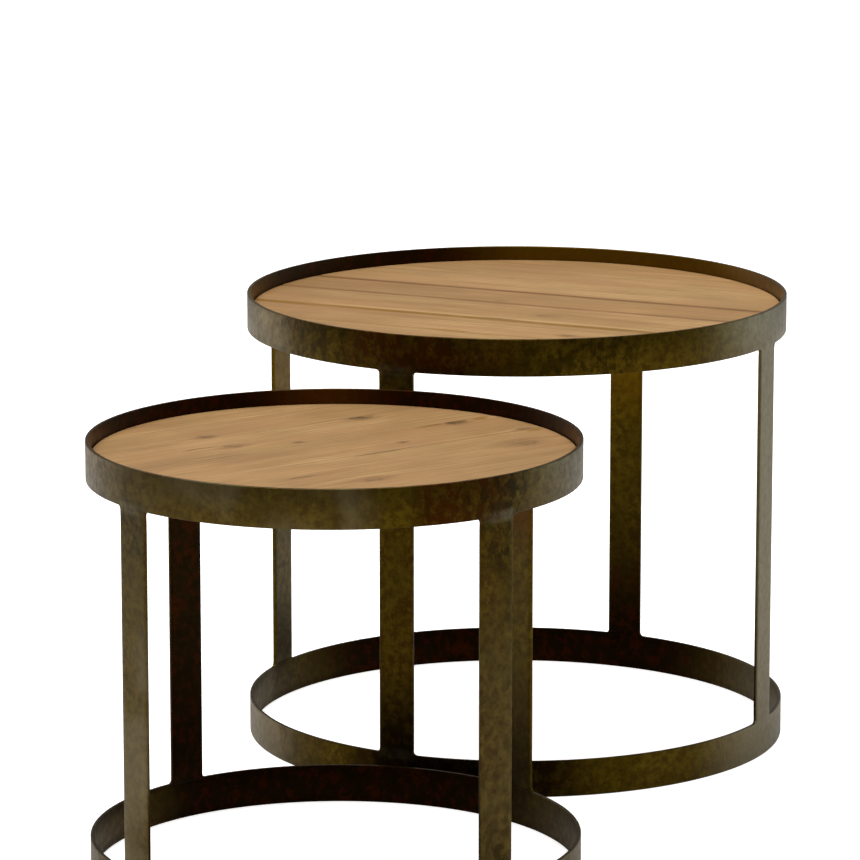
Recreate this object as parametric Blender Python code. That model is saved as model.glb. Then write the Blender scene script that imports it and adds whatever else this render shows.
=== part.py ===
"""A pair of round nesting tables, the larger one able to stand over the smaller.

Each table is a welded frame of flat steel bar: a rolled top hoop and a rolled base hoop, set on
edge, joined by four upright legs. A plank top lies inside the top hoop a little below its rim, on
two flat bearers, and each board is screwed to both bearers from below.

Units are metres, +Z is up and the floor is Z = 0. The origin is on the floor, in the middle of
the box around both tables. Azimuths count from -Y towards +X.
"""

import math

import bmesh
import bpy
from mathutils import Matrix, Vector

# ---- overall sizes ---------------------------------------------------------------------------
LARGE_DIAMETER = 0.600
LARGE_HEIGHT = 0.500
NEST_SIDE_GAP = 0.046        # all round the small table when it stands inside the large one
NEST_HEADROOM = 0.010        # from the small table's rim to the large table's top hoop
STANDING_GAP = 0.043         # between the two hoops, standing side by side
STANDING_BEARING = 18.93     # degrees from +Y towards +X, small table's centre to large one's

# ---- frame -----------------------------------------------------------------------------------
HOOP_WIDTH = 0.040           # height of the rolled bar, which stands on edge
HOOP_THICKNESS = 0.004
LEG_WIDTH = 0.040
LEG_THICKNESS = 0.004
WELD_FILLET = 0.004          # radius of the dressed weld in the corners of each leg
LEG_NAMES = ("front", "right", "back", "left")
LARGE_LEG_TURNS = (-26.4, 65.5, 153.2, -116.0)    # azimuth of each leg, in degrees: set by hand,
SMALL_LEG_TURNS = (-51.5, 40.3, 130.1, -139.2)    # within 2 degrees of quarter turns

# ---- tops ------------------------------------------------------------------------------------
BOARD_THICKNESS = 0.019
BOARD_GAP = 0.0008           # between neighbouring boards
BOARD_CHAMFER = 0.0012       # along both upper long edges
BOARD_TO_HOOP = 0.0015       # room for the wood to move, all round
LARGE_BOARD_TURN = -25.3     # degrees from +X, the way the boards run
SMALL_BOARD_TURN = 37.0
LARGE_FIRST_SEAM = 0.000     # from the table's centre, across the boards
SMALL_FIRST_SEAM = -0.029
LARGE_WIDTHS_BEYOND = (0.072, 0.084, 0.084)    # outward from the first seam on its far side
LARGE_WIDTHS_BEFORE = (0.097, 0.083)           # and on its near side; the outermost board
SMALL_WIDTHS_BEYOND = (0.079, 0.079)           # beyond these runs on to the hoop
SMALL_WIDTHS_BEFORE = (0.079, 0.079)
LEAST_BEARING = 0.020        # the least stretch of bearer under a board

# ---- bearers and screws ----------------------------------------------------------------------
BEARER_WIDTH = 0.025
BEARER_THICKNESS = 0.004
BEARER_SPACING = 0.200       # between the two bearers' centre lines
BEARER_INSET = 0.001         # from the hoop's lower edge up to the bearers
BEARER_TO_HOOP = 0.0005
SCREW_HEAD_RADIUS = 0.0040
SCREW_HEAD_HEIGHT = 0.0022
SCREW_SHANK_RADIUS = 0.0020
SCREW_TIP_LENGTH = 0.0040
SCREW_BITE = 0.014           # length of shank in the wood
SCREW_HOLE_GAP = 0.0003

SEAT_GAP = 0.0003            # between pieces that touch or are welded
HOOP_SEGMENTS = 96
SCREW_SEGMENTS = 10
FILLET_SEGMENTS = 4

# ---- finishes: colour, metallic, roughness ---------------------------------------------------
PATINA_STEEL = ((0.060, 0.045, 0.022, 1.0), 0.85, 0.45)
BOARD_WOOD = ((0.460, 0.285, 0.135, 1.0), 0.0, 0.60)
SCREW_ZINC = ((0.420, 0.420, 0.410, 1.0), 1.0, 0.35)


def clear_scene():
    for item in list(bpy.data.objects):
        bpy.data.objects.remove(item, do_unlink=True)


def finish_material(name, finish):
    colour, metallic, roughness = finish
    material = bpy.data.materials.new(name)
    material.use_nodes = True
    shader = material.node_tree.nodes["Principled BSDF"]
    shader.inputs["Base Color"].default_value = colour
    shader.inputs["Metallic"].default_value = metallic
    shader.inputs["Roughness"].default_value = roughness
    material.diffuse_color = colour
    return material


def add_object(name, bm, parent, finish):
    """Turn the faces outwards, give the piece its finish and set it in its table's frame."""
    bmesh.ops.recalc_face_normals(bm, faces=bm.faces)
    mesh = bpy.data.meshes.new(name)
    bm.to_mesh(mesh)
    bm.free()
    mesh.shade_smooth()
    mesh.set_sharp_from_angle(angle=math.radians(30))
    item = bpy.data.objects.new(name, mesh)
    bpy.context.collection.objects.link(item)
    item.parent = parent
    item.data.materials.append(finish_material(name + "_finish", finish))
    return item


def add_table_empty(name, centre):
    """The middle of a table on the floor, which is also where its slide passes."""
    empty = bpy.data.objects.new(name, None)
    empty.empty_display_size = 0.1
    empty.location = (centre.x, centre.y, 0.0)
    bpy.context.collection.objects.link(empty)
    return empty


# ---- frame pieces ----------------------------------------------------------------------------
def hoop_mesh(radius):
    """A flat bar on edge, rolled into a ring that stands on Z = 0."""
    bm = bmesh.new()
    inner = radius - HOOP_THICKNESS
    corners = ((inner, 0.0), (radius, 0.0), (radius, HOOP_WIDTH), (inner, HOOP_WIDTH))
    loop = [bm.verts.new((x, 0.0, z)) for x, z in corners]
    edges = [bm.edges.new((loop[i], loop[(i + 1) % 4])) for i in range(4)]
    bmesh.ops.spin(bm, geom=loop + edges, cent=(0, 0, 0), axis=(0, 0, 1), angle=math.tau,
                   steps=HOOP_SEGMENTS, use_merge=True)
    return bm


def leg_outline(length):
    """The front of a leg: a straight bar that widens in a dressed fillet at each end."""
    half = LEG_WIDTH / 2
    steps = [math.pi / 2 * i / FILLET_SEGMENTS for i in range(FILLET_SEGMENTS + 1)]
    flare = [(half + WELD_FILLET * (1 - math.sin(a)), WELD_FILLET * (1 - math.cos(a)))
             for a in steps]
    right = flare + [(x, length - z) for x, z in reversed(flare)]
    return right + [(-x, z) for x, z in reversed(right)]


def leg_mesh(length):
    """An upright flat bar from Z = 0, its outer face towards -Y on Y = 0."""
    bm = bmesh.new()
    face = bm.faces.new([bm.verts.new((x, 0.0, z)) for x, z in leg_outline(length)])
    grown = bmesh.ops.extrude_face_region(bm, geom=[face])
    back = [v for v in grown["geom"] if isinstance(v, bmesh.types.BMVert)]
    bmesh.ops.translate(bm, verts=back, vec=(0.0, LEG_THICKNESS, 0.0))
    return bm


def leg_face_distance(radius):
    """From the table's axis to a leg's outer face, so that its flared corners meet the hoop's
    outer edge and don't stand past it."""
    return math.sqrt(radius ** 2 - (LEG_WIDTH / 2 + WELD_FILLET) ** 2)


# ---- top pieces ------------------------------------------------------------------------------
def disc_strip_mesh(radius, low, high, bottom, top):
    """The stretch of a round plate from Y = low to Y = high."""
    bm = bmesh.new()
    bmesh.ops.create_circle(bm, cap_ends=True, radius=radius, segments=HOOP_SEGMENTS,
                            matrix=Matrix.Translation((0, 0, bottom)))
    for y, side in ((low, -1.0), (high, 1.0)):
        bmesh.ops.bisect_plane(bm, geom=bm.verts[:] + bm.edges[:] + bm.faces[:], dist=1e-7,
                               plane_co=(0, y, 0), plane_no=(0, side, 0), clear_outer=True)
    grown = bmesh.ops.extrude_face_region(bm, geom=bm.faces[:])
    upper = [v for v in grown["geom"] if isinstance(v, bmesh.types.BMVert)]
    bmesh.ops.translate(bm, verts=upper, vec=(0, 0, top - bottom))
    return bm


def chamfer_long_edges(bm, lines, top):
    """Ease the upper edges that run along the given seam lines."""
    def on_seam(vert):
        return abs(vert.co.z - top) < 1e-5 and any(abs(vert.co.y - y) < 1e-5 for y in lines)
    edges = [e for e in bm.edges if all(on_seam(v) for v in e.verts)
             and abs(e.verts[0].co.y - e.verts[1].co.y) < 1e-5]
    bmesh.ops.bevel(bm, geom=edges, offset=BOARD_CHAMFER, offset_type="OFFSET", segments=1,
                    profile=0.5, affect="EDGES", material=-1)


def bearer_reach(inner_radius):
    """Half the length of a bearer along its outer edge, where the hoop meets it first."""
    outer_edge = BEARER_SPACING / 2 + BEARER_WIDTH / 2
    return math.sqrt((inner_radius - BEARER_TO_HOOP) ** 2 - outer_edge ** 2)


def seams_outward(first, widths, reach):
    """The seams from the first one outward. Where the boards would leave the last one too short
    a bearing, they are all ripped narrower."""
    room = reach - LEAST_BEARING - first
    squeeze = min(1.0, room / sum(widths))
    seams = []
    place = first
    for width in widths:
        place += width * squeeze
        seams.append(place)
    return seams


def board_edges(first, beyond, before, inner_radius):
    """The lines between boards, across the top from one side of the hoop to the other."""
    reach = bearer_reach(inner_radius)
    far = seams_outward(first, beyond, reach)
    near = [-y for y in seams_outward(-first, before, reach)]
    return [-inner_radius] + near[::-1] + [first] + far + [inner_radius]


def turned_mesh(profile, segments):
    """A solid turned about the Z axis from a profile of radius and height."""
    bm = bmesh.new()
    points = [bm.verts.new((r, 0.0, z)) for r, z in profile]
    edges = [bm.edges.new(pair) for pair in zip(points, points[1:])]
    bmesh.ops.spin(bm, geom=points + edges, cent=(0, 0, 0), axis=(0, 0, 1), angle=math.tau,
                   steps=segments, use_merge=True)
    bmesh.ops.remove_doubles(bm, verts=bm.verts, dist=1e-5)
    return bm


def screw_mesh():
    """A pan-head screw standing point up, the underside of its head at Z = 0."""
    tip = SEAT_GAP + BEARER_THICKNESS + SEAT_GAP + SCREW_BITE
    profile = ((0.0, -SCREW_HEAD_HEIGHT), (SCREW_HEAD_RADIUS * 0.7, -SCREW_HEAD_HEIGHT),
               (SCREW_HEAD_RADIUS, -SCREW_HEAD_HEIGHT * 0.4), (SCREW_HEAD_RADIUS, 0.0),
               (SCREW_SHANK_RADIUS, 0.0), (SCREW_SHANK_RADIUS, tip - SCREW_TIP_LENGTH),
               (0.0, tip))
    return turned_mesh(profile, SCREW_SEGMENTS)


def screw_hole_mesh(places, base):
    """Round cutters through the bearers and into the boards, one for each screw."""
    top = base + BEARER_THICKNESS + SEAT_GAP + SCREW_BITE + SCREW_HOLE_GAP
    bottom = base - SCREW_HEAD_HEIGHT
    bm = bmesh.new()
    for x, y in places:
        bmesh.ops.create_cone(bm, cap_ends=True, segments=SCREW_SEGMENTS,
                              radius1=SCREW_SHANK_RADIUS + SCREW_HOLE_GAP,
                              radius2=SCREW_SHANK_RADIUS + SCREW_HOLE_GAP, depth=top - bottom,
                              matrix=Matrix.Translation((x, y, (top + bottom) / 2)))
    return bm


def screw_places(low, high, inner_radius):
    """Where a board is screwed to the two bearers: in the middle of its bearing on each."""
    reach = bearer_reach(inner_radius)
    y = (max(low, -reach) + min(high, reach)) / 2
    return [(side * BEARER_SPACING / 2, y) for side in (-1, 1)]


# ---- one table -------------------------------------------------------------------------------
def build_frame(name, table, radius, height, leg_turns):
    for hoop, base in (("top_hoop", height - HOOP_WIDTH), ("base_hoop", 0.0)):
        item = add_object(f"{name}_{hoop}", hoop_mesh(radius), table, PATINA_STEEL)
        item.location.z = base
    length = height - 2 * HOOP_WIDTH - 2 * SEAT_GAP
    for side, turn in zip(LEG_NAMES, leg_turns):
        azimuth = math.radians(turn)
        outward = Vector((math.sin(azimuth), -math.cos(azimuth), 0.0))
        leg = add_object(f"{name}_leg_{side}", leg_mesh(length), table, PATINA_STEEL)
        leg.location = outward * leg_face_distance(radius)
        leg.location.z = HOOP_WIDTH + SEAT_GAP
        leg.rotation_euler.z = azimuth


def drill(item, holes):
    cut = item.modifiers.new("screw_holes", "BOOLEAN")
    cut.operation = "DIFFERENCE"
    cut.solver = "EXACT"
    cut.object = holes


def build_top(name, table, radius, height, board_turn, edges):
    inner = radius - HOOP_THICKNESS
    turn = math.radians(board_turn)
    bearer_bottom = height - HOOP_WIDTH + BEARER_INSET
    board_bottom = bearer_bottom + BEARER_THICKNESS + SEAT_GAP
    boards = list(zip(edges, edges[1:]))
    places = [screw_places(low, high, inner) for low, high in boards]

    holes = add_object(f"{name}_screw_hole_cutters",
                       screw_hole_mesh([xy for pair in places for xy in pair], bearer_bottom),
                       table, SCREW_ZINC)
    holes.rotation_euler.z = turn
    holes.hide_render = True
    holes.display_type = "WIRE"

    for number, (low, high) in enumerate(boards, start=1):
        sides = (low + BOARD_GAP / 2, high - BOARD_GAP / 2)
        seams = [y for y in sides if abs(y) < inner - BOARD_TO_HOOP]
        bm = disc_strip_mesh(inner - BOARD_TO_HOOP, *sides, board_bottom,
                             board_bottom + BOARD_THICKNESS)
        chamfer_long_edges(bm, seams, board_bottom + BOARD_THICKNESS)
        board = add_object(f"{name}_board_{number}", bm, table, BOARD_WOOD)
        board.rotation_euler.z = turn
        drill(board, holes)

    for number, side in enumerate((-1, 1), start=1):
        middle = side * BEARER_SPACING / 2
        bm = disc_strip_mesh(inner - BEARER_TO_HOOP, middle - BEARER_WIDTH / 2,
                             middle + BEARER_WIDTH / 2, bearer_bottom,
                             bearer_bottom + BEARER_THICKNESS)
        bmesh.ops.rotate(bm, verts=bm.verts, cent=(0, 0, 0),
                         matrix=Matrix.Rotation(-math.pi / 2, 3, "Z"))
        bearer = add_object(f"{name}_bearer_{number}", bm, table, PATINA_STEEL)
        bearer.rotation_euler.z = turn
        drill(bearer, holes)

    across = Matrix.Rotation(turn, 3, "Z")
    for number, pair in enumerate(places, start=1):
        for letter, (x, y) in zip("ab", pair):
            screw = add_object(f"{name}_screw_{number}{letter}", screw_mesh(), table, SCREW_ZINC)
            screw.location = across @ Vector((x, y, bearer_bottom - SEAT_GAP))


def build_tables():
    large_radius = LARGE_DIAMETER / 2
    small_radius = large_radius - HOOP_THICKNESS - NEST_SIDE_GAP
    small_height = LARGE_HEIGHT - HOOP_WIDTH - NEST_HEADROOM

    bearing = math.radians(STANDING_BEARING)
    apart = Vector((math.sin(bearing), math.cos(bearing))) * (
        large_radius + small_radius + STANDING_GAP)
    shift = (large_radius - small_radius) / 2
    large_centre = apart / 2 - Vector((shift, shift))
    small_centre = large_centre - apart

    large = add_table_empty("large_table", large_centre)
    build_frame("large", large, large_radius, LARGE_HEIGHT, LARGE_LEG_TURNS)
    build_top("large", large, large_radius, LARGE_HEIGHT, LARGE_BOARD_TURN,
              board_edges(LARGE_FIRST_SEAM, LARGE_WIDTHS_BEYOND, LARGE_WIDTHS_BEFORE,
                          large_radius - HOOP_THICKNESS))

    small = add_table_empty("small_table", small_centre)
    build_frame("small", small, small_radius, small_height, SMALL_LEG_TURNS)
    build_top("small", small, small_radius, small_height, SMALL_BOARD_TURN,
              board_edges(SMALL_FIRST_SEAM, SMALL_WIDTHS_BEYOND, SMALL_WIDTHS_BEFORE,
                          small_radius - HOOP_THICKNESS))


clear_scene()
build_tables()
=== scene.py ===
import math

import bmesh
import bpy
from mathutils import Matrix, Vector


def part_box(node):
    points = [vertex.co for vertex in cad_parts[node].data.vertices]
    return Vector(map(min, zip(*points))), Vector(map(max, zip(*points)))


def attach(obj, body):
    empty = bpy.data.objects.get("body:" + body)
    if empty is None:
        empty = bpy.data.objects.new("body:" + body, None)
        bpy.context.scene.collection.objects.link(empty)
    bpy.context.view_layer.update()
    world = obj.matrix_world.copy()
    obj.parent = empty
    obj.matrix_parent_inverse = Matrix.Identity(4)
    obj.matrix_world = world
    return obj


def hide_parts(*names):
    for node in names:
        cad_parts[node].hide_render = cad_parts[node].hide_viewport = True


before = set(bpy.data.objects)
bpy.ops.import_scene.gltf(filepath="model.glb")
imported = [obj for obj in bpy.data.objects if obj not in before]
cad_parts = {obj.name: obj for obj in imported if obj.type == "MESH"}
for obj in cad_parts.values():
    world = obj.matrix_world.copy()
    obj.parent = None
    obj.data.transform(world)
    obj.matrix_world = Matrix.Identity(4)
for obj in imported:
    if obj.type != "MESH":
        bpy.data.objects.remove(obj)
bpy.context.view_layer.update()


# ---- Hoops ----
# The top and base hoop of each table: 40 mm flat bar on edge, rolled into a ring and butt-welded.
# The steel is blackened, rubbed back on the outside to a cloudy bronze brown and waxed; inside
# it has painted shade. Each table's axis and sizes are read from its base hoop and top hoop.
HOOP_THICKNESS = 0.004
HOOP_EASING = 0.0007
HOOP_STEPS = 240
SHARP_ANGLE = 40
LEG_SIDES = ("front", "right", "back", "left")


class Table:
    """One table: its name in the frame, its body, axis, radius and heights.

    board_turn is the way its boards run and joint_turn the bearing of the hoops' butt weld, both
    given in degrees; drift moves the clouds of its patina, so that the two tables differ.
    """

    def __init__(self, name, board_turn, joint_turn, drift):
        base_low, base_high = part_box(f"{name}_base_hoop")
        self.name = name
        self.body = f"{name}_table"
        self.centre = Vector(((base_low.x + base_high.x) / 2, (base_low.y + base_high.y) / 2, 0))
        self.radius = (base_high.x - base_low.x) / 2
        self.hoop_width = base_high.z
        self.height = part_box(f"{name}_top_hoop")[1].z
        self.leg_turns = [self.bearing(f"{name}_leg_{side}") for side in LEG_SIDES]
        self.board_turn = math.radians(board_turn)
        self.joint_turn = math.radians(joint_turn)
        self.drift = drift

    def bearing(self, node):
        """How far round the table a node sits, from the side nearest the front."""
        low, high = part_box(node)
        place = (low + high) / 2 - self.centre
        return math.atan2(place.x, -place.y)


LARGE = Table("large", board_turn=-25.3, joint_turn=-57.5, drift=(3.1, 0.4, 1.7))
SMALL = Table("small", board_turn=37.0, joint_turn=104.0, drift=(0.2, 5.3, 2.9))
TABLES = (LARGE, SMALL)


class Nodes:
    """A material's node tree, with one short call for each kind of node."""

    def __init__(self, name):
        self.material = bpy.data.materials.new(name)
        self.material.use_nodes = True
        self.tree = self.material.node_tree
        self.shader = self.tree.nodes["Principled BSDF"]

    def put(self, socket, value):
        """Link a socket to another one, or set its value."""
        if isinstance(value, bpy.types.NodeSocket):
            self.tree.links.new(value, socket)
        else:
            socket.default_value = value

    def make(self, kind, out, inputs=None, **settings):
        """Add a node with its inputs and settings, and give back one of its outputs."""
        node = self.tree.nodes.new(kind)
        for key, value in settings.items():
            setattr(node, key, value)
        for key, value in (inputs or {}).items():
            self.put(node.inputs[key], value)
        return node.outputs[out]

    def from_axis(self, table):
        """Object coordinates, measured from the foot of a table's axis."""
        return self.make("ShaderNodeVectorMath", "Vector",
                         {0: self.make("ShaderNodeTexCoord", "Object"), 1: table.centre},
                         operation="SUBTRACT")

    def axes(self, vector):
        """A vector's x, y and z."""
        node = self.tree.nodes.new("ShaderNodeSeparateXYZ")
        self.put(node.inputs[0], vector)
        return node.outputs

    def place(self, location=(0, 0, 0), turn=0.0, scale=(1, 1, 1), vector=None):
        """A vector moved, turned and scaled; Object coordinates unless another is given."""
        if vector is None:
            vector = self.make("ShaderNodeTexCoord", "Object")
        return self.make("ShaderNodeMapping", "Vector",
                         {"Vector": vector, "Location": location, "Rotation": (0, 0, turn),
                          "Scale": scale})

    def noise(self, vector, scale, detail=3.0, roughness=0.5, distortion=0.0):
        """Clouds between nought and one, that many to the metre."""
        return self.make("ShaderNodeTexNoise", "Fac",
                         {"Vector": vector, "Scale": scale, "Detail": detail,
                          "Roughness": roughness, "Distortion": distortion})

    def span(self, value, low, high, to_low=0.0, to_high=1.0, smooth=True):
        """Take a value's range from low to high on to another range, and hold it at the ends."""
        return self.make("ShaderNodeMapRange", "Result",
                         {"Value": value, "From Min": low, "From Max": high, "To Min": to_low,
                          "To Max": to_high},
                         interpolation_type="SMOOTHSTEP" if smooth else "LINEAR")

    def math(self, operation, first, second=0.0):
        """One sum on two numbers."""
        node = self.tree.nodes.new("ShaderNodeMath")
        node.operation = operation
        self.put(node.inputs[0], first)
        self.put(node.inputs[1], second)
        return node.outputs[0]

    def near(self, value, middle, half, fade):
        """One within half of a middle value, falling to nothing over the fade beyond it."""
        away = self.math("ABSOLUTE", self.math("SUBTRACT", value, middle))
        return self.span(away, half, half + fade, 1.0, 0.0)

    def mix(self, factor, first, second):
        """Blend two colours; their sockets come after those for numbers and vectors."""
        node = self.tree.nodes.new("ShaderNodeMix")
        node.data_type = "RGBA"
        self.put(node.inputs[0], factor)
        self.put(node.inputs[6], first)
        self.put(node.inputs[7], second)
        return node.outputs[2]

    def bump(self, height, strength, distance):
        """A fine relief for the shader's Normal."""
        return self.make("ShaderNodeBump", "Normal",
                         {"Height": height, "Strength": strength, "Distance": distance})


# The marks in the patina, and the painted sheen, shade and shadow on it, in metres, or in radians
# round the table from the front. A mark along a line is given by its half width and by how far it
# fades beyond that.
ARC_FADE = 0.15                     # of a rusty or a scorched arc
SCORCH_LEAST = 0.15                 # how scorched the steel is between the arcs
BELOW_HOOP = (0.004, 0.35)          # rust and scorch fade this far under the top hoop, to this
RIGHT_SHEEN = (1.46, 0.42, 0.40)     # the middle of the painted sheen on the right, half width, fade
LEG_BLOOM = (0.10, 0.02)
LEG_BLOOM_FROM = 0.20               # the height over which a leg's bloom thins
WELD_MARK = 0.014
UPPER_HEAT = (0.018, 0.016, 0.040)  # under the top hoop, half height, fade
LOWER_HEAT = (0.012, 0.010, 0.050)  # above the base hoop, half height, fade
# how far the painted shadow low down fades beyond its arc
SHADOW_FADE = 0.22
SKIN_DEPTH = (0.0032, 0.0008)       # inside beyond the first depth, outside above the second
TINT_HEIGHTS = (0.28, 0.36)         # the tint inside comes in between these
LEAST_SHADE = (1.8, 0.3, 0.4)           # where the painted shade inside is least, half width, fade
SHADE_HEIGHTS = (0.03, 0.24)        # the painted shade inside thins out between these
# how far an arc of painted shade inside fades at its ends, and the height over which it comes in
SHADE_ARC_FADE = 0.45
SHADE_RISE = 0.03
WELD_LINE = (0.0025, 0.006)         # dressed steel along the end of a leg
BUTT_LINE = (0.001, 0.005)          # dressed steel along a hoop's own weld
OLIVE_BRONZE = (0.118, 0.077, 0.005, 1)
DARK_BRONZE = (0.056, 0.034, 0.002, 1)
RUST_RED = (0.052, 0.014, 0.001, 1)
# burnished grey, and the painted sheen at the hoops' ends
GREY_BLOOM_AND_SHEEN = (0.190, 0.158, 0.090, 1)
GROUND_STEEL = (0.210, 0.190, 0.130, 1)
# the painted shade inside the hoops, and the painted shadow low down
SHADE_BLACK = (0.011, 0.005, 0.001, 1)
SCORCH_BLACK = (0.016, 0.012, 0.001, 1)
# red in the painted shade inside
RED_SHADE = (0.050, 0.009, 0.001, 1)


def patina(table, rust, scorch, cast_shadow, bloom_and_sheen, bloom_and_sheen_edge, right_sheen, leg_bloom, inside_tint,
           shade_arcs_inside, ground):
    """Rubbed-back blackened steel, uneven round the table, with painted sheen, shade and shadow.

    Rust lies thickest over one arc, given from bearing to bearing, and so does grey: partly a
    burnished patina, partly a painted sheen at the hoops' left ends. The edge given with the grey
    is how softly it ends, the right sheen how strong a painted sheen is at the right ends, and
    leg_bloom the bearing of the leg that has grey low down. A scorched arc is a bearing, a half
    width and a strength; a painted shadow low down, cast by the other table, is an arc that ends
    with the height it reaches, and an arc of painted shade inside, at a bearing from the back,
    comes with the height it starts at. The inside is tinted near its top, and ground is how bare
    the dressed welds are.
    """
    n = Nodes(f"{table.name}_patina_steel")
    here = n.from_axis(table)
    x, y, z = n.axes(here)
    round_table = n.math("ARCTAN2", x, n.math("MULTIPLY", y, -1.0))
    from_back = n.math("ARCTAN2", x, y)
    out = n.math("SQRT", n.math("ADD", n.math("MULTIPLY", x, x), n.math("MULTIPLY", y, y)))
    spot = n.place(location=table.drift, vector=here)
    wide = n.noise(spot, 9, 2, 0.5, 0.4)
    cloudy = n.noise(n.place(location=(5, 1, 2), vector=spot), 26, 4, 0.6, 0.3)
    mottle = n.noise(n.place(location=(2, 8, 5), vector=spot), 130, 5, 0.7)
    speckle = n.noise(n.place(location=(9, 4, 1), vector=spot), 330, 3, 0.6)
    streak = n.noise(n.place(scale=(1, 1, 0.3), vector=spot), 110, 4, 0.6)
    burnt = n.noise(n.place(location=(7, 3, 6), scale=(1, 1, 0.8), vector=spot), 95, 6, 0.66)

    # Where the rust, the scorching and the grey lie; the grey is burnished patina and painted
    # sheen.
    rim = table.height - table.hoop_width
    on_hoop = n.span(z, rim - BELOW_HOOP[0], rim, BELOW_HOOP[1], 1.0)
    rust_arc = n.near(round_table, (rust[0] + rust[1]) / 2, (rust[1] - rust[0]) / 2, ARC_FADE)
    rusty = n.math("MULTIPLY", n.span(n.math("ADD", cloudy, n.math("MULTIPLY", streak, 0.6)),
                                      0.58, 0.84), n.math("ADD", rust_arc, 0.2))
    rusty = n.math("MULTIPLY", rusty, on_hoop)
    scorch_arc = SCORCH_LEAST
    for bearing, half, strength in scorch:
        arc = n.math("MULTIPLY", n.near(round_table, bearing, half, ARC_FADE), strength)
        scorch_arc = n.math("MAXIMUM", arc, scorch_arc)
    bloom_and_sheen_arc = n.near(round_table, (bloom_and_sheen[0] + bloom_and_sheen[1]) / 2, (bloom_and_sheen[1] - bloom_and_sheen[0]) / 2,
                       bloom_and_sheen_edge)
    # Painted sheen at the right end of each hoop.
    right_sheen_arc = n.math("MULTIPLY", n.near(round_table, *RIGHT_SHEEN), right_sheen)
    bloom_and_sheen_mask = n.math("MULTIPLY", n.span(wide, 0.38, 0.60, 0.20, 1.0),
                      n.math("ADD", bloom_and_sheen_arc, 0.04))
    bloom_and_sheen_mask = n.math("MAXIMUM", bloom_and_sheen_mask, right_sheen_arc)
    low_leg = n.math("MULTIPLY", n.near(round_table, leg_bloom, *LEG_BLOOM),
                     n.span(z, LEG_BLOOM_FROM, rim, 0.32, 0.0))
    bloom_and_sheen_mask = n.math("MAXIMUM", bloom_and_sheen_mask, low_leg)

    # The rubbed-back bronze brown, then those marks over it.
    colour = n.mix(n.span(mottle, 0.36, 0.64), DARK_BRONZE, OLIVE_BRONZE)
    colour = n.mix(n.span(cloudy, 0.36, 0.66, 0.55, 0.0), colour, DARK_BRONZE)
    colour = n.mix(n.span(speckle, 0.35, 0.65, 0.25, 0.0), colour, DARK_BRONZE)
    # Grey: burnished patina in places, and painted sheen at the hoops' ends.
    colour = n.mix(n.math("MULTIPLY", bloom_and_sheen_mask, 0.55), colour, GREY_BLOOM_AND_SHEEN)
    scorched = n.math("MULTIPLY", n.span(burnt, 0.44, 0.58, 0.10, 0.90), scorch_arc)
    scorched = n.math("MULTIPLY", scorched, on_hoop)
    colour = n.mix(scorched, colour, SCORCH_BLACK)
    rusty = n.math("MULTIPLY", rusty, n.span(mottle, 0.38, 0.56, 0.95, 0.45))
    colour = n.mix(rusty, colour, RUST_RED)

    # The heat of the welds at the ends of each leg, and a painted shadow low down.
    at_leg = 0.0
    half = WELD_MARK / table.radius
    for turn in table.leg_turns:
        at_leg = n.math("MAXIMUM", n.near(round_table, turn, half, half), at_leg)
    heated = n.math("MAXIMUM", n.near(z, rim - UPPER_HEAT[0], *UPPER_HEAT[1:]),
                    n.near(z, table.hoop_width + LOWER_HEAT[0], *LOWER_HEAT[1:]))
    heated = n.math("MULTIPLY", heated, n.span(burnt, 0.44, 0.60, 0.20, 0.65))
    heated = n.math("MULTIPLY", heated, n.span(bloom_and_sheen_mask, 0.20, 0.60, 1.0, 0.1))
    colour = n.mix(n.math("MULTIPLY", heated, at_leg), colour, SCORCH_BLACK)
    # A painted shadow low down, cast by the neighbouring table.
    for bearing, half, height in cast_shadow:
        arc = n.math("MULTIPLY", n.near(round_table, bearing, half, SHADOW_FADE),
                     n.span(z, table.hoop_width, height, 0.96, 0.0))
        arc = n.math("MULTIPLY", arc, n.span(burnt, 0.40, 0.58, 0.70, 1.0))
        colour = n.mix(arc, colour, SHADE_BLACK)

    # The inside: a tint near its top, then painted shade, darker towards the floor and in arcs.
    inside = n.span(out, table.radius - SKIN_DEPTH[0], table.radius - SKIN_DEPTH[1], 1.0, 0.0)
    tinted = n.math("MULTIPLY", inside, n.span(z, *TINT_HEIGHTS, 0.0, 0.5))
    colour = n.mix(tinted, colour, inside_tint)
    # Painted shade inside: darker towards the floor, least at the sides, deeper in arcs at the
    # back.
    least_shade = n.near(n.math("ABSOLUTE", round_table), *LEAST_SHADE)
    painted_shade = n.math("MULTIPLY", n.span(z, *SHADE_HEIGHTS, 0.96, 0.0),
                   n.math("SUBTRACT", 1.0, n.math("MULTIPLY", least_shade, 0.9)))
    for bearing, half, above in shade_arcs_inside:
        arc = n.math("MULTIPLY", n.near(from_back, bearing, half, SHADE_ARC_FADE),
                     n.span(z, above, above + SHADE_RISE, 0.0, 0.92))
        painted_shade = n.math("MAXIMUM", painted_shade, arc)
    colour = n.mix(n.math("MULTIPLY", inside, painted_shade), colour, SHADE_BLACK)
    # Red mottling within that painted shade.
    red_in_shade = n.math("MULTIPLY", n.span(burnt, 0.40, 0.52, 0.60, 0.0), inside)
    colour = n.mix(n.math("MULTIPLY", red_in_shade, painted_shade), colour, RED_SHADE)

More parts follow.
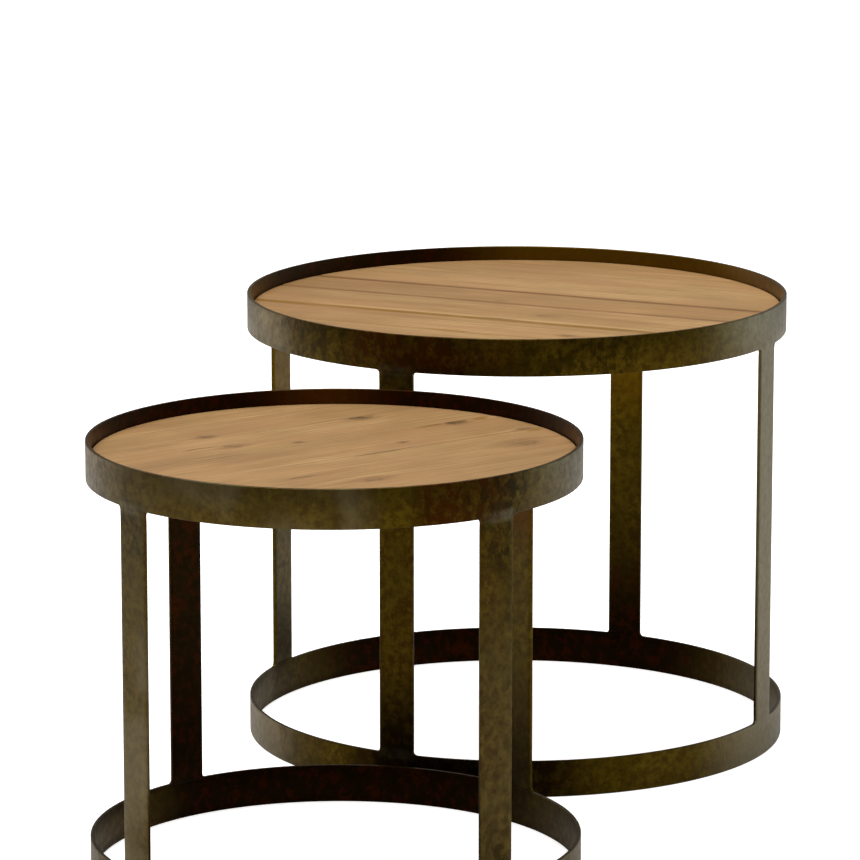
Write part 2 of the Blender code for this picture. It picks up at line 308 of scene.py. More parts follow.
    # Bare steel where the leg welds and the hoops' butt weld are dressed.
    upper_weld = n.near(z, rim, *WELD_LINE)
    lower_weld = n.near(z, table.hoop_width, *WELD_LINE)
    dressed = n.math("MULTIPLY", at_leg, n.math("MAXIMUM", upper_weld, lower_weld))
    joint = n.near(round_table, table.joint_turn, *(w / table.radius for w in BUTT_LINE))
    dressed = n.math("MAXIMUM", dressed, n.math("MULTIPLY", joint, 0.4))
    dressed = n.math("MULTIPLY", dressed, n.span(cloudy, 0.40, 0.66, 0.03, ground))
    dressed = n.math("MULTIPLY", dressed, n.math("SUBTRACT", 1.0, inside))
    colour = n.mix(dressed, colour, GROUND_STEEL)

    n.put(n.shader.inputs["Base Color"], colour)
    worn = n.span(mottle, 0.3, 0.7, 0.46, 0.34)
    n.put(n.shader.inputs["Roughness"], n.math("ADD", worn, n.math("MULTIPLY", rusty, 0.12)))
    n.shader.inputs["Metallic"].default_value = 1.0
    relief = n.math("ADD", n.math("MULTIPLY", speckle, 0.5), mottle)
    n.put(n.shader.inputs["Normal"], n.bump(relief, 0.12, 0.0005))
    return n.material


def add_piece(bm, name, body, material, replaces=(), sharp=SHARP_ANGLE):
    """Finish a bmesh as a smooth-shaded piece that rides on its table and stands for CAD nodes."""
    bmesh.ops.recalc_face_normals(bm, faces=bm.faces)
    mesh = bpy.data.meshes.new(name)
    bm.to_mesh(mesh)
    bm.free()
    mesh.shade_smooth()
    mesh.set_sharp_from_angle(angle=math.radians(sharp))
    mesh.materials.append(material)
    piece = bpy.data.objects.new(name, mesh)
    bpy.context.scene.collection.objects.link(piece)
    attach(piece, body)
    if replaces:
        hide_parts(*replaces)


def rolled_bar(centre, radius, bottom, width):
    """A flat bar on edge, its four corners eased, spun into a closed ring."""
    bm = bmesh.new()
    corners = [(radius - HOOP_THICKNESS, bottom), (radius, bottom),
               (radius, bottom + width), (radius - HOOP_THICKNESS, bottom + width)]
    section = bm.faces.new([bm.verts.new((x, 0, z)) for x, z in corners])
    bmesh.ops.bevel(bm, geom=section.verts[:], offset=HOOP_EASING, segments=3, profile=0.5,
                    affect="VERTICES", material=-1)
    bmesh.ops.delete(bm, geom=bm.faces[:], context="FACES_ONLY")
    bmesh.ops.spin(bm, geom=bm.verts[:] + bm.edges[:], cent=(0, 0, 0), axis=(0, 0, 1),
                   angle=math.tau, steps=HOOP_STEPS, use_merge=True)
    bmesh.ops.translate(bm, verts=bm.verts, vec=centre)
    return bm


# The grey arcs hold painted sheen as well as burnished patina, the large table's low arc is a
# painted shadow cast by the small table, and the arcs inside are painted shade.
STEEL = {
    "large": patina(LARGE, rust=(-0.56, -0.30),
                    scorch=[(-0.88, 0.10, 0.75), (-0.46, 0.24, 0.90), (0.22, 0.14, 0.85)],
                    cast_shadow=[(-0.20, 0.30, 0.14)], bloom_and_sheen=(-1.9, -1.00), bloom_and_sheen_edge=0.06,
                    right_sheen=1.35, leg_bloom=1.14, inside_tint=(0.170, 0.085, 0.003, 1),
                    shade_arcs_inside=[(-0.70, 0.35, 0.42)], ground=0.10),
    "small": patina(SMALL, rust=(0.44, 0.66),
                    scorch=[(0.60, 0.20, 1.0), (-1.35, 0.20, 0.4)],
                    cast_shadow=[], bloom_and_sheen=(-0.95, 0.0), bloom_and_sheen_edge=0.25,
                    right_sheen=0.32, leg_bloom=0.70, inside_tint=(0.100, 0.022, 0.001, 1),
                    shade_arcs_inside=[(-0.80, 0.35, 0.02), (0.72, 0.40, 0.40)], ground=0.40),
}
for table in TABLES:
    for hoop, bottom in (("top_hoop", table.height - table.hoop_width), ("base_hoop", 0.0)):
        add_piece(rolled_bar(table.centre, table.radius, bottom, table.hoop_width),
                  f"{table.name}_{hoop}_steel", table.body, STEEL[table.name],
                  replaces=[f"{table.name}_{hoop}"])


# ---- Legs ----
# Four upright lengths of the same flat bar on each table, butt-welded between the hoops. The
# welds are dressed flush on the outside, so each leg widens into the hoops in a small fillet and
# its ends take up the hoops' curve.
LEG_WIDTH = 0.040
LEG_THICKNESS = 0.004
LEG_COLUMNS = 8
WELD_FILLET = 0.004
FILLET_STEPS = 5
FILLET_REACH = 6          # the higher, the closer to the bar's edges the fillet stays
DRESSED_LENGTH = 0.014
DRESSED_STEPS = 4
WELD_OVERLAP = 0.0012
FLUSH = 0.00006
QUARTER = math.pi / 2
TOUCHING = 1e-5
SNAP = 1e-6


def leg_bar(table, azimuth):
    """A flat bar between the hoops, its corners flared and its ends bent to the hoops."""
    low = table.hoop_width - WELD_OVERLAP
    high = table.height - table.hoop_width + WELD_OVERLAP
    half = LEG_WIDTH / 2
    bm = bmesh.new()
    bmesh.ops.create_grid(bm, x_segments=LEG_COLUMNS, y_segments=1, size=0.5)
    bmesh.ops.scale(bm, verts=bm.verts, vec=(LEG_WIDTH, high - low, 1))
    bmesh.ops.rotate(bm, verts=bm.verts, cent=(0, 0, 0), matrix=Matrix.Rotation(QUARTER, 3, "X"))
    bmesh.ops.translate(bm, verts=bm.verts, vec=(0, 0, (low + high) / 2))
    rises = [WELD_FILLET * (1 - math.cos(QUARTER * i / FILLET_STEPS))
             for i in range(FILLET_STEPS + 1)]
    rises += [WELD_FILLET + (DRESSED_LENGTH - WELD_FILLET) * i / DRESSED_STEPS
              for i in range(1, DRESSED_STEPS + 1)]
    for step in (WELD_OVERLAP + rise for rise in rises):
        for z in (low + step, high - step):
            bmesh.ops.bisect_plane(bm, geom=bm.verts[:] + bm.edges[:] + bm.faces[:], dist=SNAP,
                                   plane_co=(0, 0, z), plane_no=(0, 0, 1))
    grown = bmesh.ops.extrude_face_region(bm, geom=bm.faces[:])
    back = [v for v in grown["geom"] if isinstance(v, bmesh.types.BMVert)]
    bmesh.ops.translate(bm, verts=back, vec=(0, LEG_THICKNESS, 0))
    long_edges = [e for e in bm.edges if all(abs(v.co.x) > half - TOUCHING for v in e.verts)
                  and abs(e.verts[0].co.y - e.verts[1].co.y) < TOUCHING]
    bmesh.ops.recalc_face_normals(bm, faces=bm.faces)
    bmesh.ops.bevel(bm, geom=long_edges, offset=HOOP_EASING, segments=3, profile=0.5,
                    affect="EDGES", material=-1)
    flat = math.sqrt(table.radius ** 2 - (half + WELD_FILLET) ** 2)
    for v in bm.verts:
        from_end = max(0.0, min(v.co.z - low, high - v.co.z) - WELD_OVERLAP)
        if from_end < WELD_FILLET:
            share = 1 - from_end / WELD_FILLET
            flare = WELD_FILLET * (1 - math.sqrt(1 - share ** 2))
            v.co.x += math.copysign(flare, v.co.x) * (
                min(1.0, abs(v.co.x) / half) ** FILLET_REACH)
        ring = math.sqrt(table.radius ** 2 - v.co.x ** 2) - FLUSH
        bend = max(0.0, 1 - from_end / DRESSED_LENGTH)
        v.co.y += -flat - (ring - flat) * bend ** 2 * (3 - 2 * bend)
    bmesh.ops.rotate(bm, verts=bm.verts, cent=(0, 0, 0), matrix=Matrix.Rotation(azimuth, 3, "Z"))
    bmesh.ops.translate(bm, verts=bm.verts, vec=table.centre)
    return bm


BEAD_WIDTH = 0.0036
BEAD_RISE = 0.0009
BEAD_SIDES = 12
BEAD_LEAST_STEPS = 8
BEAD_END = 0.35
RIPPLE_LENGTH = 0.0016
RIPPLE_STEPS = 3
RIPPLE_SWELL = 0.14


def weld_bead(bm, table, level, start, end):
    """A rippled bead laid along a hoop's inner face at one height, between two bearings."""
    face = table.radius - HOOP_THICKNESS
    ripples = round(abs(end - start) * face / RIPPLE_LENGTH)
    steps = max(BEAD_LEAST_STEPS, ripples * RIPPLE_STEPS)
    spot = Matrix.Translation((0, -face, level))
    shrunk = BEAD_END
    made = bmesh.ops.create_circle(bm, cap_ends=True, radius=0.5, segments=BEAD_SIDES)["verts"]
    bmesh.ops.rotate(bm, verts=made, cent=(0, 0, 0), matrix=Matrix.Rotation(QUARTER, 3, "Y"))
    bmesh.ops.scale(bm, verts=made, vec=(1, BEAD_RISE * 2 * shrunk, BEAD_WIDTH * shrunk))
    place = Matrix.Rotation(start, 4, "Z") @ spot
    bmesh.ops.transform(bm, matrix=place, verts=made)
    cap = made[0].link_faces[0]
    for step in range(1, steps + 1):
        grown = bmesh.ops.extrude_face_region(bm, geom=[cap])["geom"]
        bmesh.ops.delete(bm, geom=[cap], context="FACES_ONLY")
        cap = next(g for g in grown if isinstance(g, bmesh.types.BMFace))
        wave = RIPPLE_SWELL * math.sin(math.tau * step / RIPPLE_STEPS)
        swell = BEAD_END if step == steps else 1 - RIPPLE_SWELL + wave
        new_place = Matrix.Rotation(start + (end - start) * step / steps, 4, "Z") @ spot
        grow = Matrix.Diagonal((1, swell / shrunk, swell / shrunk, 1))
        bmesh.ops.transform(bm, matrix=new_place @ grow @ place.inverted(), verts=cap.verts[:])
        place, shrunk = new_place, swell


for table in TABLES:
    for side, turn in zip(LEG_SIDES, table.leg_turns):
        add_piece(leg_bar(table, turn), f"{table.name}_leg_{side}_steel", table.body,
                  STEEL[table.name], replaces=[f"{table.name}_leg_{side}"])
        welds = bmesh.new()
        half = LEG_WIDTH / 2 / table.radius
        for level in (table.hoop_width, table.height - table.hoop_width):
            weld_bead(welds, table, level, turn - half, turn + half)
        bmesh.ops.translate(welds, verts=welds.verts, vec=table.centre)
        add_piece(welds, f"{table.name}_leg_{side}_welds", table.body,
                  STEEL[table.name])


# ---- Boards ----
# The tops: planks sawn to a disc that drops inside the top hoop, leaving a rim to stop things
# sliding off. The large top's boards have eased edges and show their seams; the small top's lie
# closer. The wood is straight-grained with a few knots and drying cracks, sanded and oiled.
BOARD_TO_HOOP = 0.0015
BOARD_STEPS = 180
HIGHLIGHT_PALE = (0.600, 0.400, 0.190, 1)
WOOD_HONEY = (0.490, 0.306, 0.128, 1)
WOOD_TAN = (0.368, 0.219, 0.084, 1)
WOOD_ROSE = (0.500, 0.255, 0.110, 1)
WOOD_BROWN = (0.235, 0.118, 0.040, 1)
PORE_BROWN = (0.110, 0.056, 0.018, 1)
KNOT_BROWN = (0.074, 0.044, 0.012, 1)
RESIN_GOLD = (0.240, 0.115, 0.002, 1)
SEAM_GOLD = (0.215, 0.105, 0.006, 1)
SEAM_BROWN = (0.185, 0.085, 0.024, 1)
KNOT_SPREAD = 1.2
GRAIN_SWAY = 0.014
PLANK_SHIFT = 0.37
DARK_END = -0.30
SEAM_GAP = (0.0001, 0.0011)           # of a tight seam, and how much more of an open one
SEAM_EASING = (0.0003, 0.0019)
SEAM_STAIN = (0.0020, 0.0085)         # from here the stain fades, and over this
SEAM_HIGHLIGHT = (0.0110, 0.0010, 0.0030)   # from the seam to a painted highlight, half width, fade
CRACK_WANDER = 0.0035
CRACK_WIDTH = 0.0016
CRACK_EDGE = (-0.0008, 0.0002)


class Seam:
    """A joint between two boards: how far across the top it lies, how open it has grown, and
    whether the oil in it has dried golden."""

    def __init__(self, across, open_by, golden=False):
        self.across = across
        self.gap = SEAM_GAP[0] + SEAM_GAP[1] * open_by
        self.easing = SEAM_EASING[0] + SEAM_EASING[1] * open_by
        self.stain = min(1.0, 1.4 * open_by)
        self.colour = SEAM_GOLD if golden else SEAM_BROWN


class Knot:
    """A knot: how far along and across the top it lies, half its length and width, how dark.

    A bleed of golden resin is laid out the same way, but does not turn the grain.
    """

    def __init__(self, along, across, long, wide, dark, resin=False):
        self.along, self.across = along, across
        self.long, self.wide = long, wide
        self.dark = dark
        self.resin = resin

    def oval(self, n, along, across):
        """Squared distance from the middle, 1 where the knot's own wood ends."""
        far = n.math("DIVIDE", n.math("SUBTRACT", along, self.along), self.long * KNOT_SPREAD)
        side = n.math("DIVIDE", n.math("SUBTRACT", across, self.across), self.wide * KNOT_SPREAD)
        return n.math("ADD", n.math("MULTIPLY", far, far), n.math("MULTIPLY", side, side))


class Crack:
    """A drying crack: where along the top it starts and ends, how far across, and how dark."""

    def __init__(self, start, end, across, dark):
        self.middle, self.half = (start + end) / 2, (end - start) / 2
        self.across = across
        self.dark = dark


# What shows on each top, in metres along and across its boards from the table's axis.
SEAMS = {
    "large": (Seam(-0.180, 0.25, golden=True), Seam(-0.097, 1.0, golden=True),
              Seam(0.000, 0.55), Seam(0.072, 0.65), Seam(0.156, 0.15), Seam(0.240, 0.15)),
    "small": (Seam(-0.187, 0.05), Seam(-0.108, 0.05), Seam(-0.029, 0.18), Seam(0.050, 0.12),
              Seam(0.129, 0.05)),
}
KNOTS = {
    "large": (Knot(-0.080, 0.151, 0.008, 0.005, 0.25), Knot(-0.024, 0.011, 0.007, 0.005, 0.2),
              Knot(0.061, -0.052, 0.012, 0.008, 0.35), Knot(0.128, -0.153, 0.008, 0.005, 0.5),
              Knot(0.019, -0.090, 0.018, 0.004, 0.45),
              Knot(0.000, -0.178, 0.020, 0.004, 0.75, resin=True),
              Knot(0.045, -0.182, 0.014, 0.003, 0.6, resin=True)),
    "small": (Knot(0.121, 0.124, 0.014, 0.009, 0.95), Knot(0.186, 0.044, 0.012, 0.009, 0.95),
              Knot(-0.064, 0.138, 0.011, 0.007, 0.55), Knot(-0.066, 0.083, 0.012, 0.007, 0.45),
              Knot(0.179, -0.082, 0.020, 0.013, 0.55), Knot(-0.045, -0.130, 0.016, 0.007, 0.5),
              Knot(-0.002, 0.059, 0.005, 0.004, 0.8), Knot(0.083, -0.004, 0.005, 0.004, 0.7),
              Knot(0.223, -0.026, 0.010, 0.007, 0.5),
              Knot(0.219, 0.045, 0.007, 0.006, 0.75, resin=True),
              Knot(0.228, -0.036, 0.009, 0.003, 0.75, resin=True),
              Knot(0.150, 0.044, 0.014, 0.003, 0.55, resin=True)),
}
CRACKS = {
    "large": (Crack(-0.020, 0.052, -0.185, 0.6), Crack(-0.150, -0.060, 0.038, 0.4)),
    "small": (Crack(-0.130, -0.070, 0.092, 0.7), Crack(0.138, 0.178, 0.047, 0.9),
              Crack(-0.160, -0.062, 0.044, 0.5), Crack(-0.118, -0.075, -0.080, 0.7),
              Crack(-0.010, 0.086, -0.0312, 0.9)),
}
# How much darker the wood of each board is, and from where along a top the sun has faded it.
TONES = {
    "large": (0.05, 0.03, 0.00, 0.10, -0.05, -0.03, -0.02),
    "small": (0.01, 0.03, 0.05, 0.03, 0.07, 0.04),
}
SUNNED_FROM = {"large": 0.12, "small": -0.18}


def oiled_board(table, number, low, high):
    """Straight grain along one board, flowing round its knots, with pores, cracks and stain."""
    n = Nodes(f"{table.name}_board_{number}_wood")
    board = n.place(turn=-table.board_turn, vector=n.from_axis(table))
    along, across, depth = n.axes(board)
    sway = n.span(n.noise(n.place(scale=(1.6, 6, 6), vector=board), 1.0, 2, 0.5), 0, 1,
                  -GRAIN_SWAY, GRAIN_SWAY, smooth=False)
    grain_line = n.math("ADD", across, sway)

    # Each knot pushes the grain aside, and has a ragged dark core in a softer halo.
    ripple = n.noise(n.place(scale=(0.45, 1, 1), vector=board), 230, 4, 0.7)
    marks = [k for k in KNOTS[table.name] if low.across < k.across < high.across]
    knots = [k for k in marks if not k.resin]
    knot_stain = ring_stain = None
    for knot in knots:
        square = knot.oval(n, along, across)
        swell = n.math("EXPONENT", n.math("MULTIPLY", square, -0.35))
        off = n.math("MULTIPLY", n.math("SUBTRACT", across, knot.across), swell)
        grain_line = n.math("SUBTRACT", grain_line, n.math("MULTIPLY", off, 1.15))
        rough_edge = n.math("ADD", square, n.span(ripple, 0.2, 0.8, -1.0, 1.0))
        core = n.span(rough_edge, -0.35, 1.1, knot.dark, 0.0)
        halo = n.span(square, 0.2, 3.4, knot.dark * 0.62, 0.0)
        knot_stain = core if knot_stain is None else n.math("MAXIMUM", knot_stain, core)
        ring_stain = halo if ring_stain is None else n.math("MAXIMUM", ring_stain, halo)

    # The large top's boards come from different planks; the small top's grain runs on.
    shift = 0.0 if table is SMALL else number * PLANK_SHIFT
    flow = n.make("ShaderNodeCombineXYZ", 0, {0: n.math("ADD", along, shift), 1: grain_line,
                                              2: n.math("ADD", depth, shift)})
    streaks = n.noise(n.place(scale=(2.4, 55, 30), vector=flow), 1.0, 4, 0.55)
    bands = n.noise(n.place(scale=(1.1, 15, 12), vector=flow), 1.0, 3, 0.5)
    fine = n.noise(n.place(scale=(7, 260, 120), vector=flow), 1.0, 4, 0.6)
    fibre = n.noise(n.place(scale=(22, 1000, 600), vector=flow), 1.0, 3, 0.6)
    pores = n.span(n.noise(n.place(scale=(50, 1600, 800), vector=flow), 1.0, 2, 0.6), 0.60, 0.72)
    rings = n.make("ShaderNodeTexWave", "Fac",
                   {"Vector": n.place(scale=(0.04, 1, 1), vector=flow), "Scale": 42.0,
                    "Distortion": 5.0, "Detail": 2.0, "Detail Scale": 1.5,
                    "Detail Roughness": 0.5},
                   wave_type="BANDS", bands_direction="Y", wave_profile="SIN")
    blotch = n.noise(n.place(scale=(9, 14, 9), vector=board), 1.0, 4, 0.55)

    # The wood's colour, from broad bands to pores.
    tone = n.math("ADD", n.math("MULTIPLY", streaks, 0.55), n.math("MULTIPLY", bands, 0.45))
    tone = n.math("SUBTRACT", tone, TONES[table.name][number - 1])
    colour = n.mix(n.span(tone, 0.36, 0.62), WOOD_TAN, WOOD_HONEY)
    unfaded = n.span(along, DARK_END, SUNNED_FROM[table.name], 0.34, 0.0)
    colour = n.mix(unfaded, colour, WOOD_BROWN)
    colour = n.mix(n.span(blotch, 0.36, 0.62, 0.36, 0.0), colour, WOOD_BROWN)
    colour = n.mix(n.span(rings, 0.30, 1.0, 0.0, 0.34), colour, WOOD_BROWN)
    flushed = n.noise(n.place(location=(4, 2, 7), scale=(5, 16, 9), vector=board), 1.0, 3, 0.55)
    colour = n.mix(n.span(flushed, 0.44, 0.62, 0.0, 0.22), colour, WOOD_ROSE)
    colour = n.mix(n.span(fine, 0.34, 0.58, 0.50, 0.0), colour, WOOD_BROWN)
    colour = n.mix(n.span(fibre, 0.32, 0.62, 0.22, 0.0), colour, WOOD_BROWN)
    colour = n.mix(n.math("MULTIPLY", pores, 0.30), colour, PORE_BROWN)

    # Stain along the open seams, and a painted highlight, a paler line beside the widest.
    ragged = n.span(n.noise(n.place(scale=(14, 60, 60), vector=board), 1.0, 3, 0.6), 0.3, 0.6,
                    0.60, 1.0)
    well_in = n.near(along, 0.0, 0.17, 0.06)
    for seam, inward in ((low, 1), (high, -1)):
        if seam.stain:
            edge = n.math("MULTIPLY", n.math("SUBTRACT", across, seam.across), inward)
            if seam.stain == 1.0 and inward > 0:
                # A painted highlight along the board's edge beside the widest seam.
                painted_highlight = n.math("MULTIPLY", n.near(edge, *SEAM_HIGHLIGHT), 0.35)
                colour = n.mix(n.math("MULTIPLY", painted_highlight, well_in), colour, HIGHLIGHT_PALE)
            stain = n.span(edge, SEAM_STAIN[0] * seam.stain,
                           SEAM_STAIN[0] + SEAM_STAIN[1] * seam.stain, seam.stain, 0.0)
            colour = n.mix(n.math("MULTIPLY", stain, ragged), colour, seam.colour)

    # Drying cracks, sunk in the surface, then the knots and the resin over all.
    relief = n.math("ADD", fibre, n.math("MULTIPLY", fine, 0.8))
    for crack in (c for c in CRACKS[table.name] if low.across < c.across < high.across):
        wander = n.span(n.noise(n.place(scale=(26, 1, 1), vector=board), 1.0, 3, 0.5), 0, 1,
                        crack.across - CRACK_WANDER, crack.across + CRACK_WANDER, smooth=False)
        length = n.near(along, crack.middle, crack.half * 0.35, crack.half * 0.65)
        width = n.math("MULTIPLY", length, CRACK_WIDTH)
        away = n.math("ABSOLUTE", n.math("SUBTRACT", across, wander))
        split = n.math("MULTIPLY", n.span(n.math("SUBTRACT", away, width), *CRACK_EDGE,
                                          crack.dark, 0.0), n.span(length, 0.0, 0.15))
        colour = n.mix(split, colour, KNOT_BROWN)
        relief = n.math("SUBTRACT", relief, n.math("MULTIPLY", split, 2.5))
    if knots:
        colour = n.mix(ring_stain, colour, WOOD_BROWN)
        colour = n.mix(knot_stain, colour, KNOT_BROWN)
    for resin in (k for k in marks if k.resin):
        bleed = n.span(resin.oval(n, along, across), 0.2, 1.8, resin.dark, 0.0)
        colour = n.mix(bleed, colour, RESIN_GOLD)
    n.put(n.shader.inputs["Base Color"], colour)
    n.put(n.shader.inputs["Roughness"], n.span(fibre, 0.3, 0.7, 0.48, 0.62))
    n.shader.inputs["Specular IOR Level"].default_value = 0.3
    n.put(n.shader.inputs["Normal"], n.bump(relief, 0.22, 0.0006))
    return n.material


def sawn_board(table, low, high, bottom, top):
    """A strip of the round top, its upper edges eased."""
    reach = table.radius - HOOP_THICKNESS - BOARD_TO_HOOP
    bm = bmesh.new()
    bmesh.ops.create_circle(bm, cap_ends=True, radius=reach, segments=BOARD_STEPS,
                            matrix=Matrix.Translation((0, 0, bottom)))
    for y, side in ((low.across + low.gap / 2, -1), (high.across - high.gap / 2, 1)):
        bmesh.ops.bisect_plane(bm, geom=bm.verts[:] + bm.edges[:] + bm.faces[:], dist=SNAP,
                               plane_co=(0, y, 0), plane_no=(0, side, 0), clear_outer=True)
    grown = bmesh.ops.extrude_face_region(bm, geom=bm.faces[:])
    upper = [v for v in grown["geom"] if isinstance(v, bmesh.types.BMVert)]
    bmesh.ops.translate(bm, verts=upper, vec=(0, 0, top - bottom))
    bmesh.ops.recalc_face_normals(bm, faces=bm.faces)
    rim = [e for e in bm.edges if all(v.co.z > top - TOUCHING for v in e.verts)]
    bmesh.ops.bevel(bm, geom=rim, offset=(low.easing + high.easing) / 2, segments=3,
                    profile=0.5, affect="EDGES", material=-1)
    bmesh.ops.rotate(bm, verts=bm.verts, cent=(0, 0, 0),
                     matrix=Matrix.Rotation(table.board_turn, 3, "Z"))
    bmesh.ops.translate(bm, verts=bm.verts, vec=table.centre)
    return bm


for table in TABLES:
    inner = table.radius - HOOP_THICKNESS
    edges = (Seam(-inner, 0),) + SEAMS[table.name] + (Seam(inner, 0),)
    for number, (low, high) in enumerate(zip(edges, edges[1:]), start=1):
        node = f"{table.name}_board_{number}"
        bottom, top = (corner.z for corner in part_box(node))
        add_piece(sawn_board(table, low, high, bottom, top), f"{node}_plank", table.body,
                  oiled_board(table, number, low, high), replaces=[node])


# ---- Bearers ----
# Two flat bars lie across each top hoop under the boards, their ends cut to its curve and welded
# to its inside. They have the frame's own patina, and a bead shows under each end.
BEARER_WIDTH = 0.025


def bearer_ends(table, node):
    """The bearing and half width of a bearer's two ends, seen from the table's axis."""
    low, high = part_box(node)
    place = (low + high) / 2 - table.centre
    along = place.to_2d().length
    side = math.atan2(place.y, place.x)
    face = table.radius - HOOP_THICKNESS
    swing = math.acos(along / face)
    half = BEARER_WIDTH / 2 / face / math.sin(swing)
    return [(side + turn + QUARTER, half) for turn in (swing, -swing)]


for table in TABLES:
    for number in (1, 2):
        node = f"{table.name}_bearer_{number}"
        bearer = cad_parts[node]
        for slot in bearer.material_slots:
            slot.material = STEEL[table.name]
        welds = bmesh.new()
        for turn, half in bearer_ends(table, node):
            weld_bead(welds, table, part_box(node)[0].z, turn - half, turn + half)
        bmesh.ops.translate(welds, verts=welds.verts, vec=table.centre)
        add_piece(welds, f"{node}_welds", table.body, STEEL[table.name])


# ---- Screws ----
# A zinc-plated pan-head screw comes up through each bearer into each board, with a cross recess
# in its head. Its thread is out of sight in the wood.
HEAD_CURVE = ((0.0026, 0.0), (0.0032, 0.00018), (0.0037, 0.0006), (0.00395, 0.0011),
              (0.004, 0.0017), (0.0039, 0.0022))
HEAD_HEIGHT = 0.0022
CORE_RADIUS = 0.0014
THREAD_RADIUS = 0.0020
THREAD_PITCH = 0.0014
THREAD_HALF = 0.0003
TIP_LENGTH = 0.004
TIP_RADIUS = 0.0002
RECESS_INSET = 0.0006
RECESS_ARM = 22           # degrees either side of the middle of an arm of the cross
RECESS_WAIST = 0.46       # how far in the corners between the arms are drawn
RECESS_TAPER = 0.62
RECESS_DEPTH = 0.0012
SCREW_STEPS = 24
SCREW_SHARP = 30
SCREW_TURN = (90, 50)     # a screw's place gives the turn that its cross stops at
ZINC_PALE = (0.46, 0.46, 0.43, 1)
ZINC_DULL = (0.24, 0.23, 0.20, 1)


def zinc_plate():
    """Bright zinc with a dull, slightly blotched film."""
    n = Nodes("zinc_plate")
    film = n.noise(n.place(), 420, 4, 0.6)
    n.put(n.shader.inputs["Base Color"], n.mix(n.span(film, 0.35, 0.65), ZINC_PALE, ZINC_DULL))
    n.put(n.shader.inputs["Roughness"], n.span(film, 0.3, 0.7, 0.26, 0.45))
    n.shader.inputs["Metallic"].default_value = 1.0
    n.put(n.shader.inputs["Normal"], n.bump(film, 0.1, 0.0002))
    return n.material


def pan_head_screw(place, length):
    """A screw standing on its head: a profile spun round, then a cross sunk in the head."""
    bm = bmesh.new()
    profile = list(HEAD_CURVE) + [(CORE_RADIUS, HEAD_HEIGHT)]
    level = HEAD_HEIGHT + THREAD_PITCH
    while level < length - TIP_LENGTH:
        profile += [(CORE_RADIUS, level - THREAD_HALF), (THREAD_RADIUS, level),
                    (CORE_RADIUS, level + THREAD_HALF)]
        level += THREAD_PITCH
    profile += [(CORE_RADIUS, length - TIP_LENGTH), (TIP_RADIUS, length)]
    verts = [bm.verts.new((x, 0, z)) for x, z in profile]
    for first, second in zip(verts, verts[1:]):
        bm.edges.new((first, second))
    bmesh.ops.spin(bm, geom=bm.verts[:] + bm.edges[:], cent=(0, 0, 0), axis=(0, 0, 1),
                   angle=math.tau, steps=SCREW_STEPS, use_merge=True)
    bmesh.ops.holes_fill(bm, edges=bm.edges[:], sides=SCREW_STEPS)
    bmesh.ops.recalc_face_normals(bm, faces=bm.faces)
    flat = min(bm.faces, key=lambda f: f.calc_center_median().z)
    bmesh.ops.inset_region(bm, faces=[flat], thickness=RECESS_INSET)
    for v in flat.verts:
        sweep = math.degrees(math.atan2(v.co.y, v.co.x)) % 90
        if RECESS_ARM < sweep < 90 - RECESS_ARM:
            v.co.x *= RECESS_WAIST
            v.co.y *= RECESS_WAIST
    grown = bmesh.ops.extrude_face_region(bm, geom=[flat])["geom"]
    bmesh.ops.delete(bm, geom=[flat], context="FACES_ONLY")
    sunk = [g for g in grown if isinstance(g, bmesh.types.BMVert)]
    bmesh.ops.scale(bm, verts=sunk, vec=(RECESS_TAPER, RECESS_TAPER, 1))
    bmesh.ops.translate(bm, verts=sunk, vec=(0, 0, RECESS_DEPTH))
    turn = place.x * SCREW_TURN[0] + place.y * SCREW_TURN[1]
    bmesh.ops.rotate(bm, verts=bm.verts, cent=(0, 0, 0), matrix=Matrix.Rotation(turn, 3, "Z"))
    bmesh.ops.translate(bm, verts=bm.verts, vec=place)
    return bm


ZINC = zinc_plate()
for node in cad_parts:
    if "_screw_" in node:
        low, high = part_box(node)
        place = Vector(((low.x + high.x) / 2, (low.y + high.y) / 2, low.z))
        add_piece(pan_head_screw(place, high.z - low.z), f"{node}_pan_head",
                  f"{node.split('_')[0]}_table", ZINC, replaces=[node],
                  sharp=SCREW_SHARP)


# ---- Floor, light and camera ----
# A white studio. The floor that is seen is almost pure white, so its shadows are faint; the one
# under it isn't seen, and gives the steel the true floor to reflect, shadows and all. One big
# light hangs overhead, and a card stands on each side.
FLOOR_SIZE = 120.0
FLOOR_ROUGHNESS = 0.9
SEEN_LEVEL = -0.0005
SEEN_WHITE = (0.85, 0.85, 0.85, 1)
SEEN_GLOW = 0.80
REFLECTED_LEVEL = -0.0010
REFLECTED_WHITE = (0.80, 0.79, 0.77, 1)
SKY_LOW = (0.20, 0.20, 0.20, 1)
SKY_HIGH = (0.30, 0.30, 0.30, 1)
SKY_HIGH_FROM = 0.8
CAMERA_PLACE = (-0.0253, -5.1469, 1.4511)
CAMERA_DIP = 11.609
CAMERA_LENS = 206.2
CAMERA_SENSOR = 36
CAMERA_REACH = 200


def floor(name, level, colour, glow):
    """A plain matt floor."""
    bm = bmesh.new()
    bmesh.ops.create_grid(bm, x_segments=1, y_segments=1, size=FLOOR_SIZE / 2,
                          matrix=Matrix.Translation((0, 0, level)))
    mesh = bpy.data.meshes.new(name)
    bm.to_mesh(mesh)
    bm.free()
    n = Nodes(name)
    n.shader.inputs["Base Color"].default_value = colour
    n.shader.inputs["Roughness"].default_value = FLOOR_ROUGHNESS
    n.shader.inputs["Specular IOR Level"].default_value = 0.0
    n.shader.inputs["Emission Color"].default_value = (1, 1, 1, 1)
    n.shader.inputs["Emission Strength"].default_value = glow
    mesh.materials.append(n.material)
    piece = bpy.data.objects.new(name, mesh)
    bpy.context.scene.collection.objects.link(piece)
    return piece


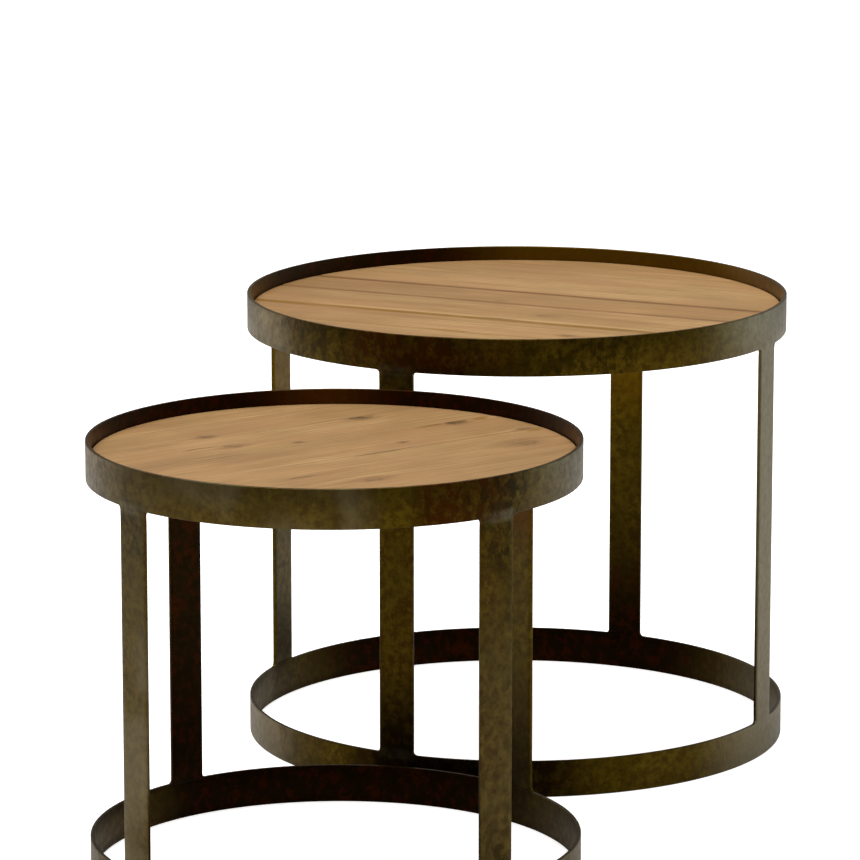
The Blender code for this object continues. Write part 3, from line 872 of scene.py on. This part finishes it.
seen = floor("seen_floor", SEEN_LEVEL, SEEN_WHITE, SEEN_GLOW)
seen.visible_glossy = seen.visible_diffuse = seen.visible_shadow = False
reflected = floor("reflected_floor", REFLECTED_LEVEL, REFLECTED_WHITE, 0.0)
reflected.visible_camera = False

world = bpy.data.worlds.new("studio")
bpy.context.scene.world = world
world.use_nodes = True
sky = world.node_tree
direction = sky.nodes.new("ShaderNodeTexCoord")
split = sky.nodes.new("ShaderNodeSeparateXYZ")
sky.links.new(direction.outputs["Generated"], split.inputs["Vector"])
ramp = sky.nodes.new("ShaderNodeValToRGB")
lowest, highest = ramp.color_ramp.elements
lowest.position, lowest.color = 0.0, SKY_LOW
highest.position, highest.color = SKY_HIGH_FROM, SKY_HIGH
sky.links.new(split.outputs["Z"], ramp.inputs["Fac"])
sky.links.new(ramp.outputs["Color"], sky.nodes["Background"].inputs["Color"])
sky.nodes["Background"].inputs["Strength"].default_value = 1.0


def softbox(name, place, aim, size, power, colour):
    """A rectangular light at one place, aimed at another and out of the camera's sight."""
    data = bpy.data.lights.new(name, "AREA")
    data.shape = "RECTANGLE"
    data.size, data.size_y = size
    data.energy = power
    data.color = colour
    light = bpy.data.objects.new(name, data)
    bpy.context.scene.collection.objects.link(light)
    light.location = place
    light.rotation_euler = (Vector(aim) - Vector(place)).to_track_quat("-Z", "Y").to_euler()
    light.visible_camera = False


softbox("overhead", (-0.5, -0.2, 4.5), (0, 0, 0), (5.0, 5.0), 262, (1, 0.985, 0.96))
softbox("left_card", (-2.2, 1.6, 0.6), (0, 0, 0.4), (1.2, 1.6), 8, (1, 0.90, 0.76))
softbox("right_card", (2.6, 1.0, 0.6), (0, 0.1, 0.4), (2.2, 1.6), 13, (0.74, 0.91, 1.0))

camera_data = bpy.data.cameras.new("camera")
camera_data.lens = CAMERA_LENS
camera_data.sensor_width = CAMERA_SENSOR
camera_data.clip_end = CAMERA_REACH
camera = bpy.data.objects.new("camera", camera_data)
bpy.context.scene.collection.objects.link(camera)
camera.location = CAMERA_PLACE
camera.rotation_euler = (math.radians(90 - CAMERA_DIP), 0, 0)
bpy.context.scene.camera = camera
bpy.context.scene.view_settings.view_transform = "Standard"
